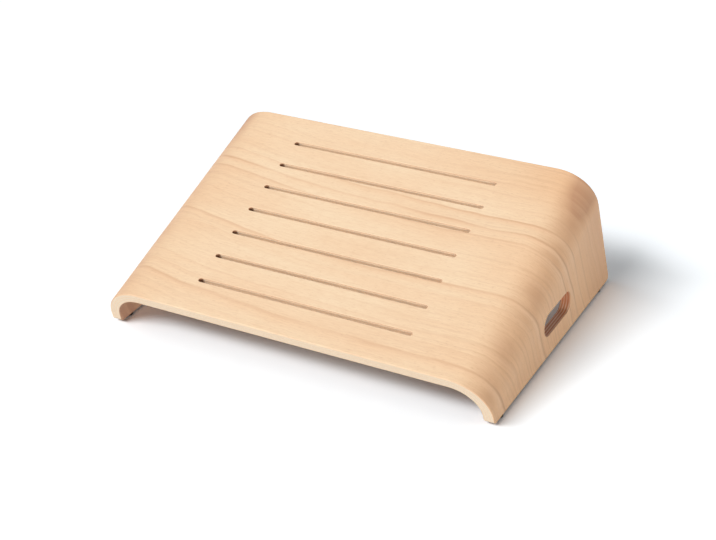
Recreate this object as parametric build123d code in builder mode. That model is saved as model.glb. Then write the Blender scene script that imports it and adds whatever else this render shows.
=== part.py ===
from build123d import *
from math import cos, radians, sin, tan
import os

# Footrest of moulded beech plywood: one sheet of nine veneers, bent down along both sides,
# stands on four rubber feet. Millimetres, +Z up, front towards -Y, origin on the floor
# below the middle of the footrest.

# Veneers, from the foot side to the underside
face_veneer = 0.7
core_veneer = 1.5
layers = [
    ("top_face_veneer", face_veneer),
    ("upper_outer_crossband", core_veneer),
    ("upper_long_grain_veneer", core_veneer),
    ("upper_inner_crossband", core_veneer),
    ("middle_long_grain_veneer", core_veneer),
    ("lower_inner_crossband", core_veneer),
    ("lower_long_grain_veneer", core_veneer),
    ("lower_outer_crossband", core_veneer),
    ("bottom_face_veneer", face_veneer),
]
sheet = sum(thickness for _, thickness in layers)

# Moulded sheet
flat_width = 360.0
bend_radius = 45.0
splay = 4.0
board_length = 310.0
slope = 19.0
front_height = 52.0
corner_radius = 5.0
edge_easing = 1.0
trim_allowance = 15.0

# Slots across the foot board
slot_count = 7
slot_length = 250.0
slot_width = 5.0
slot_pitch = 37.5
slot_easing = 0.5

# Handle hole in each side panel
handle_length = 75.0
handle_width = 25.0
handle_setback = 184.0
handle_height = 39.5

# Rubber feet, each with a stem pushed into the bottom edge of a side panel
foot_diameter = 11.0
foot_height = 3.0
foot_rounding = 0.6
stem_diameter = 5.0
stem_length = 10.0
stem_clearance = 0.05
front_foot_inset = 20.0
rear_foot_inset = 29.0

# Directions of the sloping board and of the splayed side panels
slope_cos = cos(radians(slope))
slope_sin = sin(radians(slope))
slope_tan = tan(radians(slope))
splay_cos = cos(radians(splay))
splay_sin = sin(radians(splay))

# The front edge is set back from the origin so that the whole depth lies evenly about it
rear_height = front_height + board_length * slope_sin
front_bottom = (front_height - foot_height) * slope_tan
rear_bottom = board_length * slope_cos + (rear_height - foot_height) * slope_tan
rear_reach = rear_bottom - corner_radius * (slope_tan + 1 / slope_cos - 1)
front_reach = edge_easing * (slope_cos + slope_sin - 1)
front_y = -(front_reach + rear_reach) / 2

board_top = Plane((0, front_y, front_height)).rotated((slope, 0, 0))
board_front = Plane(board_top.origin, x_dir=(1, 0, 0), z_dir=-board_top.y_dir)
slope_axis = Axis(board_top.origin, board_top.y_dir)


def panel_normal(side):
    """Outward direction of a side panel, side +1 on the right and -1 on the left."""
    return board_top.x_dir * (side * splay_cos) + board_top.z_dir * splay_sin


def panel_point(side, setback, height):
    """Point on the outer face of a side panel, behind the front edge and above the floor."""
    normal = panel_normal(1)
    bend_end = board_top.origin + board_top.x_dir * (flat_width / 2)
    bend_end = bend_end - board_top.z_dir * bend_radius + normal * bend_radius
    point = Vector(bend_end.X, front_y + setback, height)
    across = (bend_end - point).dot(normal) / normal.X
    return Vector(side * (point.X + across), point.Y, point.Z)


def side_point(along, above):
    """Side view of the point this far along the slope and above the top of the board."""
    point = board_top.from_local_coords((0, along, above))
    return (point.Y, point.Z)


def moulded_corners(depth):
    """Sharp corners of the bent line at a depth below the foot side, seen from the front."""
    turn = 90 - splay
    corner_x = flat_width / 2 + (bend_radius - depth) * tan(radians(turn / 2))
    leg = (rear_height + trim_allowance) / (slope_cos * splay_cos) + trim_allowance
    end_x = corner_x + leg * splay_sin
    end_y = -depth - leg * splay_cos
    return [(-end_x, end_y), (-corner_x, -depth), (corner_x, -depth), (end_x, end_y)]


def pressed_sheet(depth, thickness):
    """Untrimmed bent sheet between two depths, longer than the board at both ends."""
    with BuildPart() as pressed:
        with BuildSketch(board_front.offset(trim_allowance)):
            with BuildLine():
                FilletPolyline(*moulded_corners(depth), radius=bend_radius - depth)
                offset(amount=thickness, side=Side.RIGHT)
            make_face()
        extrude(amount=-(board_length + 2 * trim_allowance))
    return pressed.part


# Feet stand on the middle of each bottom edge, near its ends
foot_setbacks = {
    "front": front_bottom + front_foot_inset,
    "rear": rear_bottom - rear_foot_inset,
}
feet = {}
for end, setback in foot_setbacks.items():
    for name, side in (("left", -1), ("right", 1)):
        outer = panel_point(side, setback, foot_height)
        feet[f"{end}_{name}_foot"] = outer - Vector(side * sheet / splay_cos / 2, 0, 0)

# Pressed sheet, trimmed to its side outline, slotted, drilled and eased
with BuildPart() as shell:
    add(pressed_sheet(0, sheet))
    with BuildSketch(Plane.YZ) as side_outline:
        Polygon(
            side_point(0, trim_allowance),
            side_point(board_length, trim_allowance),
            (front_y + rear_bottom, foot_height),
            (front_y + front_bottom, foot_height),
            align=None,
        )
        fillet(side_outline.vertices().group_by(Axis.Y)[0], corner_radius)
    extrude(amount=flat_width + 2 * rear_height, both=True, mode=Mode.INTERSECT)
    rim = shell.edges().filter_by(slope_axis, reverse=True)
    cross_seams = rim.filter_by(Axis.X).filter_by(lambda edge: edge.length < flat_width / 2)
    fillet(rim - cross_seams, edge_easing)

    with BuildSketch(board_top):
        with Locations((0, board_length / 2)):
            with GridLocations(0, slot_pitch, 1, slot_count):
                SlotOverall(slot_length, slot_width)
    extrude(amount=-2 * sheet, mode=Mode.SUBTRACT)
    fillet(shell.edges(Select.LAST).filter_by(board_top), slot_easing)

    for side in (-1, 1):
        outward = panel_normal(side)
        level = Vector(0, 0, side).cross(outward)
        handle_face = Plane(panel_point(side, handle_setback, handle_height), level, outward)
        with BuildSketch(handle_face):
            SlotOverall(handle_length, handle_width)
        extrude(amount=-2 * sheet, mode=Mode.SUBTRACT)
        fillet(shell.edges(Select.LAST).filter_by(handle_face), edge_easing)

    with Locations(*[Plane(place, z_dir=(0, 0, -1)) for place in feet.values()]):
        Hole(stem_diameter / 2 + stem_clearance, stem_length + stem_clearance)

os.makedirs("parts", exist_ok=True)

# Each veneer is the stretch of the finished sheet that lies in its own layer
depth = 0.0
for name, thickness in layers:
    above = trim_allowance if depth == 0 else 0.0
    below = trim_allowance if name == layers[-1][0] else 0.0
    with BuildPart() as veneer:
        add(shell.part)
        add(pressed_sheet(depth - above, above + thickness + below), mode=Mode.INTERSECT)
    veneer.part.label = name
    export_step(veneer.part, f"parts/{name}.step")
    depth += thickness

for name, place in feet.items():
    with BuildPart() as foot:
        with BuildSketch(Plane((place.X, place.Y, 0))):
            Circle(foot_diameter / 2)
        extrude(amount=foot_height)
        fillet(foot.edges().group_by(Axis.Z)[0], foot_rounding)
        with BuildSketch(Plane(place)):
            Circle(stem_diameter / 2)
        extrude(amount=stem_length)
    foot.part.label = name
    export_step(foot.part, f"parts/{name}.step")
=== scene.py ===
import math
from typing import NamedTuple

import bpy
from mathutils import Matrix, Vector

# Moulded beech plywood footrest on rubber feet: finishes, studio floor, lamps and camera.
# Metres, in the frame of the solids: front towards -Y, +Z up, floor at zero. A pair of values that
# goes to Field.between gives where a share is 0 and where it is 1.

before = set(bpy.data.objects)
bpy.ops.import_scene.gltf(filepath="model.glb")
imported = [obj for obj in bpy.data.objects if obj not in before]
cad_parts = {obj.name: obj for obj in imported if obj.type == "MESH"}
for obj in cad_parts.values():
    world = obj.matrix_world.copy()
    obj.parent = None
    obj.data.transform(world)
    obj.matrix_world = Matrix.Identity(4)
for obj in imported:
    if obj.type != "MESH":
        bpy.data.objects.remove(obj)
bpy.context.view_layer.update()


class Layer(NamedTuple):
    """A layer of noise in the wood.

    Length and width are the size of its features with the grain and over it. Slice sets it
    apart from the other layers of the material. The layer comes up where the noise passes
    from low to high, and tint is how far it takes the colour there.
    """

    length: float
    width: float
    slice: float
    low: float
    high: float
    tint: float
    detail: float = 2.0


class CoreColours(NamedTuple):
    """A core veneer on the cut edges: its grain from the side, cut across, and scorched."""

    side: tuple
    end: tuple
    scorched: tuple


# Bent sheet, as the solids have it
FLAT_WIDTH = 0.360
BEND_RADIUS = 0.045
SPLAY = math.radians(4)
SLOPE = math.radians(19)
FRONT_EDGE_Y = -0.1715
FRONT_HEIGHT = 0.052
FACE_VENEER = 0.0007
CORE_VENEER = 0.0015

# Slots, as places on the sheet, where the burn on their rims begins and ends, and how far the
# painted shade at their left ends reaches
SLOT_HALF_LENGTH = 0.125
SLOT_END_FADE = 0.005
SLOT_END_LENGTH = 0.0055
SLOTS_ALONG = (0.035, 0.275)
SLOTS_ALONG_FADE = 0.010
SLOT_RIM_BEGINS = (0.00005, 0.0003)
SLOT_RIM_ENDS = (0.0030, 0.0010)

# Handle holes, and how far round them the cut edges count as their walls
HANDLE_SIDE = 0.200
HANDLE_SIDE_FADE = 0.010
HANDLE_Y = 0.0125
HANDLE_HALF_LENGTH = 0.0375
HANDLE_BOTTOM = 0.027
HANDLE_MARGIN = 0.010
HANDLE_FADE = 0.005

# Beech colours, linear
PALE_BEECH = (0.915, 0.705, 0.480, 1)
ROSY_BEECH = (0.860, 0.570, 0.355, 1)
LATEWOOD = (0.620, 0.360, 0.205, 1)
FLECK = (0.520, 0.290, 0.160, 1)
# Painted shade: a warmer, darker beech for the bends and side panels, and a darker brown one for
# the bends, which also takes random blotches.
SHADED_SIDE_BEECH = (0.800, 0.470, 0.250, 1)
BROWNED_AND_SHADED_BEECH = (0.550, 0.295, 0.165, 1)
# Painted shade: the underside is coloured darker and rosier for the shade beneath the sheet.
SHADED_UNDERSIDE_BEECH = (0.500, 0.265, 0.175, 1)
GLUE = (0.400, 0.215, 0.115, 1)

# Core veneers, scorched on the walls of the handle holes
LONG_GRAIN = CoreColours(
    side=(1.000, 0.840, 0.645, 1),
    end=(0.600, 0.290, 0.150, 1),
    scorched=(0.800, 0.310, 0.150, 1),
)
CROSSBAND = CoreColours(
    side=(0.800, 0.470, 0.280, 1),
    end=(1.000, 0.785, 0.560, 1),
    scorched=(1.000, 0.640, 0.430, 1),
)

# Browned further by the cutter: the front and rear walls of the handle holes and the edges of the
# top face veneer in the slots. The left ends of the slots get painted shade, a dark brown for the
# shade on their end walls, which face away from the key lamp. The shares say how far.
SCORCHED_HANDLE_END = (0.620, 0.170, 0.060, 1)
SCORCHED_SLOT_RIM = (0.550, 0.300, 0.170, 1)
PAINTED_SLOT_END_SHADE = (0.250, 0.110, 0.055, 1)
HANDLE_SCORCH = 0.9
HANDLE_END_SCORCH = 0.5
SLOT_RIM_SCORCH = 0.8
SLOT_END_SHADE_STRENGTH = 0.9

# Layers of the faces, whose grain runs across the sheet, and of the core veneers
PATCHES = Layer(length=0.15, width=0.05, slice=11.0, low=0.30, high=0.72, tint=0.45)
BLOTCHES = Layer(length=0.05, width=0.03, slice=37.0, low=0.25, high=0.75, tint=0.42)
FINE_RINGS = Layer(length=0.25, width=0.0035, slice=7.0, low=0.45, high=0.75, tint=0.23)
STREAKS = Layer(length=0.013, width=0.0016, slice=23.0, low=0.35, high=0.70, tint=0.15)
FLECKS = Layer(length=0.0050, width=0.0010, slice=29.0, low=0.56, high=0.74, tint=0.30)
FIBRES = Layer(
    length=0.016, width=0.0006, slice=17.0, low=0.45, high=0.80, tint=0.20, detail=3.0
)
CORE_TONE = Layer(length=0.08, width=0.03, slice=0.0, low=0.3, high=0.7, tint=0.2)
CORE_STREAKS = Layer(length=0.012, width=0.0004, slice=0.0, low=0.4, high=0.8, tint=0.18)
CORE_STREAK_DEPTH = 0.0003
GLUE_FADE = (0.00014, 0.00005)
GLUE_TINT = 0.6
END_GRAIN_CUT = (0.35, 0.85)

# Colour of the faces, with painted shade: it goes warmer and darker beside the bends, at the rear
# right and on the pressed side panels, and darker still on the bends, most at the rear, where
# random blotches brown it too. Turns are angles in radians.
REAR_ALONG = (0.22, 0.31)
RIGHT_ACROSS = (0.0, 0.22)
REAR_RIGHT_SHADE_TINT = 0.5
BESIDE_BEND = (0.12, 0.20)
BESIDE_BEND_SHADE_TINT = 0.25
PRESSED_TURN = (0.0, 1.2)
PRESSED_SHADE_TINT = 0.75
CREASE_BEGINS = (0.2, 0.9)
CREASE_ENDS = (1.45, 0.95)
EVEN_CREASE_SHADE = 0.13
REAR_CREASE_SHADE = 0.95
REAR_PANEL_SHADE = 0.35

# Growth lines of the faces. They sag towards the front edge at the low point, and are weakest
# about the plain middle and strongest over the bends.
LINE_SPACING = 0.017
LINE_SAG = 0.016
LINE_LOW_POINT = 0.100
LINE_REACH = 0.240
LINE_WAVER = 0.026
WAVER_LENGTH = 0.17
WAVER_WIDTH = 0.08
WAVER_DETAIL = 3.0
LINE_TINT = 0.65
BENT_LINE_TINT = 0.5
BENT_FINE_RINGS_TINT = 0.28
PLAIN_MIDDLE = -0.030
PLAIN_HALF_WIDTH = 0.03
FIGURED_HALF_WIDTH = 0.24
PLAIN_FIGURE = 0.5

# Growth rings: how unevenly they are spaced, how each fades along its length, the faintest
# strengths, and where in a ring its band and its line rise and end
UNEVEN_SPACING = 1.8
UNEVEN_WIDTH = 0.045
UNEVEN_SLICE = 3.0
FADING_LENGTH = 0.11
FADING_STEP = 7.3
FADING_SLICE = 5.0
FADING = (0.30, 0.65)
FAINTEST_RING = 0.1
FADED_RING = 0.4
BAND_RISES = (0.20, 0.90)
LINE_RISES = (0.70, 0.92)
RING_ENDS = (1.0, 0.90)

# Matt lacquer on wood
WOOD_ROUGHNESS = 0.40
GRAIN_ROUGHNESS = 0.16
WOOD_SPECULAR = 0.3
WOOD_BUMP = 0.35
WOOD_RELIEF = 0.00004
PORE_DEPTH = 0.5

# Rubber and the dust on it
RUBBER = (0.005, 0.005, 0.005, 1)
DUST = (0.014, 0.014, 0.013, 1)
DUST_SIZE = 0.003
DUST_LEVEL = (0.45, 0.75)
DUST_TINT = 0.5
RUBBER_GRAIN = 0.0004
RUBBER_ROUGHNESS = 0.5
RUBBER_GRAIN_ROUGHNESS = 0.3
RUBBER_SPECULAR = 0.1
RUBBER_BUMP = 0.4
RUBBER_RELIEF = 0.00005

# Light, as the share of white to which it lights a surface that faces it
WORLD_LEVEL = 0.12
KEY_LEVEL = 0.80
LEFT_LEVEL = 0.17
SIDE_LEVEL = 0.66
REAR_LEVEL = 0.15
LAMP_DISTANCE = 60.0

# White studio floor: what it reflects, and how much whiter it looks than it is lit. It looks
# a little blue, so that its shadow stays nearly neutral beside the warm wood.
FLOOR_HALF_SIZE = 8.0
FLOOR_WHITE = (0.45, 0.45, 0.45, 1)
FLOOR_LOOK = (1.25, 1.30, 1.34, 1)

# Picture and camera
PICTURE_WIDTH = 716
FOCAL_PIXELS = 1395.8
SENSOR_WIDTH = 36.0
CAMERA_PLACE = Vector((0.6165, -1.2033, 0.7906))
CAMERA_TARGET = Vector((-0.0372, 0.0677, 0.0))
CAMERA_ROLL = math.radians(0.43)


class Field:
    """A number that varies over a surface. Arithmetic on it adds Math nodes to its tree."""

    def __init__(self, tree, socket):
        self.tree = tree
        self.socket = socket

    def apply(self, operation, *others):
        node = self.tree.nodes.new("ShaderNodeMath")
        node.operation = operation
        for socket, value in zip(node.inputs, (self, *others)):
            plug(self.tree, socket, value)
        return Field(self.tree, node.outputs[0])

    def __add__(self, other):
        return self.apply("ADD", other)

    def __sub__(self, other):
        return self.apply("SUBTRACT", other)

    def __mul__(self, other):
        return self.apply("MULTIPLY", other)

    def __truediv__(self, other):
        return self.apply("DIVIDE", other)

    def __abs__(self):
        return self.apply("ABSOLUTE")

    def clamped(self, low, high):
        return self.apply("MAXIMUM", low).apply("MINIMUM", high)

    def between(self, low, high):
        """0 at low, 1 at high, eased at both ends. Low may be the greater of the two."""
        node = self.tree.nodes.new("ShaderNodeMapRange")
        node.interpolation_type = "SMOOTHSTEP"
        plug(self.tree, node.inputs["Value"], self)
        node.inputs["From Min"].default_value = low
        node.inputs["From Max"].default_value = high
        return Field(self.tree, node.outputs["Result"])


class SheetPlace(NamedTuple):
    """Fields of the place on the unrolled sheet.

    Across is zero at the middle and runs over the bends, along starts at the front edge, and
    depth is counted from the foot side. Turn is the angle by which the sheet is bent down there,
    and side is 1 on the right and -1 on the left.
    """

    across: Field
    along: Field
    depth: Field
    turn: Field
    side: Field


def plug(tree, socket, value):
    """Links a field or a socket to a node's input, or sets the input to a plain value."""
    if isinstance(value, Field):
        value = value.socket
    if isinstance(value, bpy.types.NodeSocket):
        tree.links.new(value, socket)
    else:
        socket.default_value = value


def point(tree, x, y, z):
    """Vector socket from three fields or numbers."""
    node = tree.nodes.new("ShaderNodeCombineXYZ")
    for socket, value in zip(node.inputs, (x, y, z)):
        plug(tree, socket, value)
    return node.outputs["Vector"]


def split(tree, vector):
    """The three fields of a vector socket."""
    node = tree.nodes.new("ShaderNodeSeparateXYZ")
    tree.links.new(vector, node.inputs["Vector"])
    return [Field(tree, socket) for socket in node.outputs]


def object_place(tree):
    """The three fields of the place in the frame of the solids."""
    return split(tree, tree.nodes.new("ShaderNodeTexCoord").outputs["Object"])


def noise(tree, x, y, z, detail=2.0):
    """Smooth noise from 0 to 1 about 0.5, with features about one unit wide."""
    node = tree.nodes.new("ShaderNodeTexNoise")
    plug(tree, node.inputs["Vector"], point(tree, x, y, z))
    node.inputs["Scale"].default_value = 1.0
    node.inputs["Detail"].default_value = detail
    return Field(tree, node.outputs["Fac"])


def layer_noise(tree, layer, with_grain, over_grain, seed):
    """The noise of a layer."""
    x, y = with_grain / layer.length, over_grain / layer.width
    return noise(tree, x, y, seed + layer.slice, layer.detail)


def layer_share(tree, layer, with_grain, over_grain, seed):
    """How far a layer has come up, from 0 to 1."""
    return layer_noise(tree, layer, with_grain, over_grain, seed).between(layer.low, layer.high)


def random_of(tree, value, seed):
    """A number from 0 to 1 that is the same wherever the value is the same."""
    node = tree.nodes.new("ShaderNodeTexWhiteNoise")
    node.noise_dimensions = "2D"
    plug(tree, node.inputs["Vector"], point(tree, value, seed, 0.0))
    return Field(tree, node.outputs["Value"])


def mixed(tree, factor, first, second):
    """Colour socket between two colours."""
    node = tree.nodes.new("ShaderNodeMix")
    node.data_type = "RGBA"
    plug(tree, node.inputs["Factor"], factor)
    colours = [socket for socket in node.inputs if socket.type == "RGBA"]
    plug(tree, colours[0], first)
    plug(tree, colours[1], second)
    return next(socket for socket in node.outputs if socket.type == "RGBA")


def new_material(name):
    """A node material with a plain Principled shader."""
    material = bpy.data.materials.new(name)
    material.use_nodes = True
    tree = material.node_tree
    return material, tree, tree.nodes["Principled BSDF"]


def add_bump(tree, shader, height, strength, relief):
    """Fine relief on a shader, this deep where the height goes from 0 to 1."""
    bump = tree.nodes.new("ShaderNodeBump")
    bump.inputs["Strength"].default_value = strength
    bump.inputs["Distance"].default_value = relief
    plug(tree, bump.inputs["Height"], height)
    tree.links.new(bump.outputs["Normal"], shader.inputs["Normal"])


def sheet_place(tree):
    """The place on the unrolled sheet, worked out from the place in the frame."""
    x, y, z = object_place(tree)
    y = y - FRONT_EDGE_Y
    z = z - FRONT_HEIGHT
    along = y * math.cos(SLOPE) + z * math.sin(SLOPE)
    above = z * math.cos(SLOPE) - y * math.sin(SLOPE)
    out = abs(x) - FLAT_WIDTH / 2
    up = above + BEND_RADIUS
    angle = out.apply("ARCTAN2", up)
    turn = angle.clamped(0.0, math.pi / 2 - SPLAY)
    reach = (out * out + up * up).apply("SQRT")
    past_bend = angle - turn
    side = x.apply("SIGN")
    across = (turn * BEND_RADIUS + reach * past_bend.apply("SINE") + FLAT_WIDTH / 2) * side
    depth = reach * past_bend.apply("COSINE") * -1.0 + BEND_RADIUS
    return SheetPlace(across, along, depth, turn, side)


def end_grain_share(tree, place, grain_across):
    """1 where the surface cuts straight across the grain, 0 where it lies along the grain."""
    x, y, z = split(tree, tree.nodes.new("ShaderNodeNewGeometry").outputs["Normal"])
    if grain_across:
        above = z * math.cos(SLOPE) - y * math.sin(SLOPE)
        cut = x * place.side * place.turn.apply("COSINE") - above * place.turn.apply("SINE")
    else:
        cut = y * math.cos(SLOPE) + z * math.sin(SLOPE)
    return abs(cut).between(*END_GRAIN_CUT)


def handle_share(tree):
    """1 on the walls of the handle holes, 0 on the other cut edges."""
    x, y, z = object_place(tree)
    end = HANDLE_HALF_LENGTH + HANDLE_MARGIN
    foot = HANDLE_BOTTOM - HANDLE_MARGIN
    beside = abs(x).between(HANDLE_SIDE - HANDLE_SIDE_FADE, HANDLE_SIDE)
    within = abs(y - HANDLE_Y).between(end + HANDLE_FADE, end)
    return beside * within * z.between(foot - HANDLE_FADE, foot)


def slotted_share(along):
    """1 from the first slot to the last, 0 at the front and rear edges of the sheet."""
    first, last = SLOTS_ALONG
    behind_front = along.between(first - SLOTS_ALONG_FADE, first)
    return behind_front * along.between(last + SLOTS_ALONG_FADE, last)


def painted_slot_end_shade_share(place):
    """1 on the walls of the left ends of the slots, which get painted shade."""
    from_end = place.across + SLOT_HALF_LENGTH
    ending = from_end.between(SLOT_END_LENGTH, SLOT_END_LENGTH / 2)
    inside = from_end.between(-2 * SLOT_END_FADE, -SLOT_END_FADE)
    return ending * inside * slotted_share(place.along)


def slot_rim_share(place):
    """1 on the edges of the top face veneer in the slots."""
    beside = abs(place.across).between(SLOT_HALF_LENGTH + SLOT_END_FADE, SLOT_HALF_LENGTH)
    rim = place.depth.between(*SLOT_RIM_BEGINS) * place.depth.between(*SLOT_RIM_ENDS)
    return slotted_share(place.along) * beside * rim


def glue_line_share(depth):
    """1 on the thin glue lines between the veneers."""
    share = ((depth - FACE_VENEER) / CORE_VENEER).apply("FRACT")
    to_line = share.apply("MINIMUM", share * -1.0 + 1.0) * CORE_VENEER
    return to_line.between(*GLUE_FADE)


def ring_place(tree, place, seed):
    """Place across the growth rings, which wander and sag towards the front edge."""
    sag = (place.across - LINE_LOW_POINT) / LINE_REACH
    x, y = place.across / WAVER_LENGTH, place.along / WAVER_WIDTH
    waver = noise(tree, x, y, seed, WAVER_DETAIL) - 0.5
    return place.along - sag * sag * LINE_SAG + waver * LINE_WAVER


def growth_rings(tree, across, rings, seed):
    """Growth rings of a face: the soft band of each, and the thin line that ends it."""
    uneven = noise(tree, rings / UNEVEN_WIDTH, seed + UNEVEN_SLICE, 0.0, detail=1.0) - 0.5
    ring = rings / LINE_SPACING + uneven * UNEVEN_SPACING
    number = ring.apply("FLOOR")
    share = ring - number
    x, y = across / FADING_LENGTH, number * FADING_STEP
    fading = noise(tree, x, y, seed + FADING_SLICE, detail=1.0).between(*FADING)
    darkness = random_of(tree, number, seed)
    strength = darkness * darkness * (1 - FAINTEST_RING) + FAINTEST_RING
    strength = strength * (fading * (1 - FADED_RING) + FADED_RING)
    ending = share.between(*RING_ENDS) * strength
    return share.between(*BAND_RISES) * ending, share.between(*LINE_RISES) * ending


def finish_wood(tree, shader, colour, grain, pores):
    """Matt lacquer over the wood: fine relief, and a gloss that follows the fibres."""
    plug(tree, shader.inputs["Base Color"], colour)
    plug(tree, shader.inputs["Roughness"], grain * GRAIN_ROUGHNESS + WOOD_ROUGHNESS)
    shader.inputs["Specular IOR Level"].default_value = WOOD_SPECULAR
    add_bump(tree, shader, grain - pores * PORE_DEPTH, WOOD_BUMP, WOOD_RELIEF)


def ground_colour_with_painted_shade(tree, place, pressed, plain, shaded_colour, seed):
    """Ground colour of a face, patchy where flat, with painted shade on and beside the bends."""
    patches = layer_share(tree, PATCHES, place.across, place.along, seed)
    colour = mixed(tree, patches * PATCHES.tint, plain, ROSY_BEECH)
    # Painted shade: warmer and darker at the rear right and beside the bends.
    rear = place.along.between(*REAR_ALONG)
    rear_right = rear * place.across.between(*RIGHT_ACROSS)
    beside_bend = abs(place.across).between(*BESIDE_BEND)
    painted_shade_share = rear_right * REAR_RIGHT_SHADE_TINT + beside_bend * BESIDE_BEND_SHADE_TINT
    colour = mixed(tree, painted_shade_share, colour, shaded_colour)
    colour = mixed(tree, pressed * PRESSED_SHADE_TINT, colour, shaded_colour)
    # Painted shade darkens the bends, most at the rear; random blotches vary it.
    blotches = layer_share(tree, BLOTCHES, place.across, place.along, seed)
    crease_shade_and_blotches = blotches * BLOTCHES.tint + rear * REAR_CREASE_SHADE + EVEN_CREASE_SHADE
    creased = place.turn.between(*CREASE_BEGINS) * place.turn.between(*CREASE_ENDS)
    browned_and_shaded = creased * crease_shade_and_blotches + rear_right * pressed * REAR_PANEL_SHADE
    return mixed(tree, browned_and_shaded, colour, BROWNED_AND_SHADED_BEECH)


def ringed_colour(tree, place, pressed, colour, seed):
    """A face's colour with its growth rings."""
    from_middle = abs(place.across - PLAIN_MIDDLE)
    figured = from_middle.between(PLAIN_HALF_WIDTH, FIGURED_HALF_WIDTH)
    figured = figured * (1 - PLAIN_FIGURE) + PLAIN_FIGURE
    rings = ring_place(tree, place, seed)
    band, line = growth_rings(tree, place.across, rings, seed)
    colour = mixed(tree, band * figured, colour, ROSY_BEECH)
    line_tint = pressed * BENT_LINE_TINT + LINE_TINT
    colour = mixed(tree, line * figured * line_tint, colour, LATEWOOD)
    fine_rings = layer_share(tree, FINE_RINGS, place.across, rings, seed)
    fine_tint = pressed * BENT_FINE_RINGS_TINT + FINE_RINGS.tint
    return mixed(tree, fine_rings * figured * fine_tint, colour, LATEWOOD)


def face_veneer_material(name, plain, shaded_colour, seed):
    """Lacquered beech face with growth rings, soft colour patches, flecks and fibres."""
    material, tree, shader = new_material(name)
    place = sheet_place(tree)
    pressed = place.turn.between(*PRESSED_TURN)
    # The ground colour carries the painted shade on and beside the bends.
    colour = ground_colour_with_painted_shade(tree, place, pressed, plain, shaded_colour, seed)
    colour = ringed_colour(tree, place, pressed, colour, seed)
    streaks = layer_share(tree, STREAKS, place.across, place.along, seed)
    colour = mixed(tree, streaks * STREAKS.tint, colour, LATEWOOD)
    flecks = layer_share(tree, FLECKS, place.across, place.along, seed)
    colour = mixed(tree, flecks * FLECKS.tint, colour, FLECK)
    fibres = layer_noise(tree, FIBRES, place.across, place.along, seed)
    fibre_tint = fibres.between(FIBRES.low, FIBRES.high) * FIBRES.tint
    colour = mixed(tree, fibre_tint, colour, LATEWOOD)
    cut = end_grain_share(tree, place, grain_across=True)
    colour = mixed(tree, cut, colour, LONG_GRAIN.end)
    colour = mixed(tree, slot_rim_share(place) * SLOT_RIM_SCORCH, colour, SCORCHED_SLOT_RIM)
    finish_wood(tree, shader, colour, grain=fibres, pores=flecks)
    return material


def core_veneer_material(name, colours, grain_across, seed):
    """Core layer of the plywood, seen on the cut edges: its grain from the side or cut across."""
    material, tree, shader = new_material(name)
    place = sheet_place(tree)
    axes = (place.across, place.along) if grain_across else (place.along, place.across)
    tone = layer_share(tree, CORE_TONE, *axes, seed)
    colour = mixed(tree, tone * CORE_TONE.tint, colours.side, ROSY_BEECH)
    cut = end_grain_share(tree, place, grain_across)
    colour = mixed(tree, cut, colour, colours.end)
    handle = handle_share(tree)
    colour = mixed(tree, handle * HANDLE_SCORCH, colour, colours.scorched)
    handle_end = handle * end_grain_share(tree, place, grain_across=False)
    colour = mixed(tree, handle_end * HANDLE_END_SCORCH, colour, SCORCHED_HANDLE_END)
    # Painted shade on the left end walls of the slots, which face away from the key lamp.
    end_wall_shade = painted_slot_end_shade_share(place)
    colour = mixed(tree, end_wall_shade * SLOT_END_SHADE_STRENGTH, colour, PAINTED_SLOT_END_SHADE)
    streaks = layer_noise(tree, CORE_STREAKS, *axes, place.depth / CORE_STREAK_DEPTH + seed)
    streak_tint = streaks.between(CORE_STREAKS.low, CORE_STREAKS.high) * CORE_STREAKS.tint
    colour = mixed(tree, streak_tint, colour, LATEWOOD)
    glue = glue_line_share(place.depth)
    colour = mixed(tree, glue * GLUE_TINT, colour, GLUE)
    finish_wood(tree, shader, colour, grain=streaks, pores=glue)
    return material


def rubber_material(name):
    """Black moulded rubber with a fine matt grain and a little dust."""
    material, tree, shader = new_material(name)
    place = object_place(tree)
    grain = noise(tree, *(axis / RUBBER_GRAIN for axis in place))
    dust = noise(tree, *(axis / DUST_SIZE for axis in place)).between(*DUST_LEVEL)
    colour = mixed(tree, dust * DUST_TINT, RUBBER, DUST)
    plug(tree, shader.inputs["Base Color"], colour)
    plug(tree, shader.inputs["Roughness"], grain * RUBBER_GRAIN_ROUGHNESS + RUBBER_ROUGHNESS)
    shader.inputs["Specular IOR Level"].default_value = RUBBER_SPECULAR
    add_bump(tree, shader, grain, RUBBER_BUMP, RUBBER_RELIEF)
    return material


def dress_nodes():
    """Gives every solid its finish."""
    top = face_veneer_material("top_face", PALE_BEECH, SHADED_SIDE_BEECH, seed=44.0)
    bottom = face_veneer_material("bottom_face", SHADED_UNDERSIDE_BEECH, SHADED_UNDERSIDE_BEECH, seed=41.0)
    crossband = core_veneer_material("crossband", CROSSBAND, grain_across=False, seed=23.0)
    long_grain = core_veneer_material("long_grain", LONG_GRAIN, grain_across=True, seed=31.0)
    rubber = rubber_material("rubber")
    for name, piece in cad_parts.items():
        if name == "top_face_veneer":
            material = top
        elif name == "bottom_face_veneer":
            material = bottom
        elif name.endswith("crossband"):
            material = crossband
        elif name.endswith("foot"):
            material = rubber
        else:
            material = long_grain
        for slot in piece.material_slots:
            slot.material = material


def seen_share(tree):
    """1 for what the camera sees, also in reflections, and 0 for light on its way."""
    path = tree.nodes.new("ShaderNodeLightPath")
    rays = ("Camera", "Glossy", "Transmission")
    camera, glossy, transmission = (Field(tree, path.outputs[f"Is {ray} Ray"]) for ray in rays)
    return camera.apply("MAXIMUM", glossy).apply("MAXIMUM", transmission)


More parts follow.
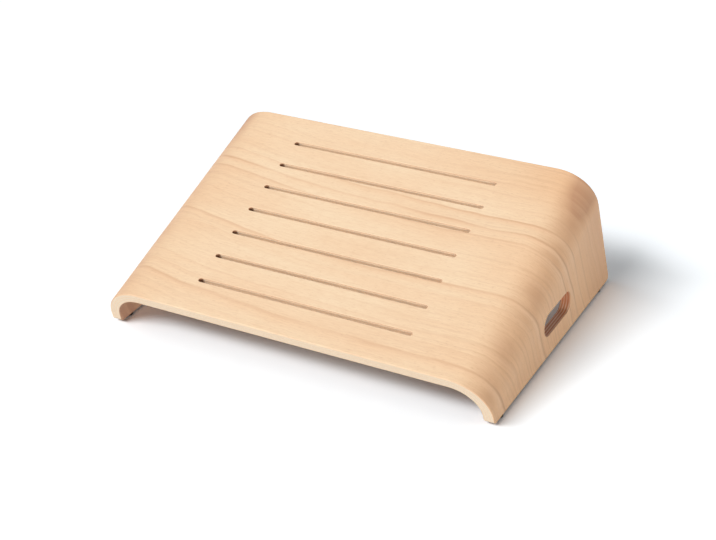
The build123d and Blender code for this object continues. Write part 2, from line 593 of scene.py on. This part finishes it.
def make_floor():
    """Plain white studio floor that keeps the shadow."""
    half = FLOOR_HALF_SIZE
    corners = [(-half, -half, 0), (half, -half, 0), (half, half, 0), (-half, half, 0)]
    mesh = bpy.data.meshes.new("floor")
    mesh.from_pydata(corners, [], [(0, 1, 2, 3)])
    floor = bpy.data.objects.new("floor", mesh)
    bpy.context.scene.collection.objects.link(floor)
    material = bpy.data.materials.new("floor")
    material.use_nodes = True
    tree = material.node_tree
    tree.nodes.clear()
    diffuse = tree.nodes.new("ShaderNodeBsdfDiffuse")
    plug(tree, diffuse.inputs["Color"], mixed(tree, seen_share(tree), FLOOR_WHITE, FLOOR_LOOK))
    output = tree.nodes.new("ShaderNodeOutputMaterial")
    tree.links.new(diffuse.outputs["BSDF"], output.inputs["Surface"])
    mesh.materials.append(material)


def make_world():
    """Soft even light from all round, seen as white."""
    world = bpy.data.worlds.new("studio")
    bpy.context.scene.world = world
    world.use_nodes = True
    tree = world.node_tree
    background = tree.nodes["Background"]
    background.inputs["Color"].default_value = (1, 1, 1, 1)
    strength = seen_share(tree) * (1 - WORLD_LEVEL) + WORLD_LEVEL
    plug(tree, background.inputs["Strength"], strength)


def make_lamp(name, direction, level, width, height):
    """Far softbox that lights a surface facing it to the given level, where 1 is white.

    Width and height are the angles in degrees at which the object sees it.
    """
    data = bpy.data.lights.new(name, "AREA")
    data.shape = "RECTANGLE"
    data.size = 2 * LAMP_DISTANCE * math.tan(math.radians(width / 2))
    data.size_y = 2 * LAMP_DISTANCE * math.tan(math.radians(height / 2))
    data.energy = level * (math.pi * LAMP_DISTANCE) ** 2
    lamp = bpy.data.objects.new(name, data)
    bpy.context.scene.collection.objects.link(lamp)
    away = Vector(direction).normalized()
    turned = away.to_track_quat("Z", "Y").to_matrix().to_4x4()
    lamp.matrix_world = Matrix.Translation(away * LAMP_DISTANCE) @ turned


def make_camera():
    """Camera at the photograph's angle."""
    data = bpy.data.cameras.new("camera")
    data.sensor_fit = "HORIZONTAL"
    data.sensor_width = SENSOR_WIDTH
    data.lens = FOCAL_PIXELS / PICTURE_WIDTH * SENSOR_WIDTH
    camera = bpy.data.objects.new("camera", data)
    bpy.context.scene.collection.objects.link(camera)
    aim = (CAMERA_TARGET - CAMERA_PLACE).to_track_quat("-Z", "Y")
    turned = aim.to_matrix().to_4x4() @ Matrix.Rotation(-CAMERA_ROLL, 4, "Z")
    camera.matrix_world = Matrix.Translation(CAMERA_PLACE) @ turned
    bpy.context.scene.camera = camera


dress_nodes()
make_floor()
make_world()
make_lamp("key", direction=(-0.58, -1.0, 1.05), level=KEY_LEVEL, width=36, height=12)
make_lamp("left", direction=(-1.0, -0.45, 1.0), level=LEFT_LEVEL, width=36, height=20)
make_lamp("side", direction=(0.75, -0.60, 0.05), level=SIDE_LEVEL, width=40, height=8)
make_lamp("rear", direction=(0.20, 1.0, 1.0), level=REAR_LEVEL, width=60, height=40)
make_camera()
bpy.context.scene.view_settings.view_transform = "Standard"
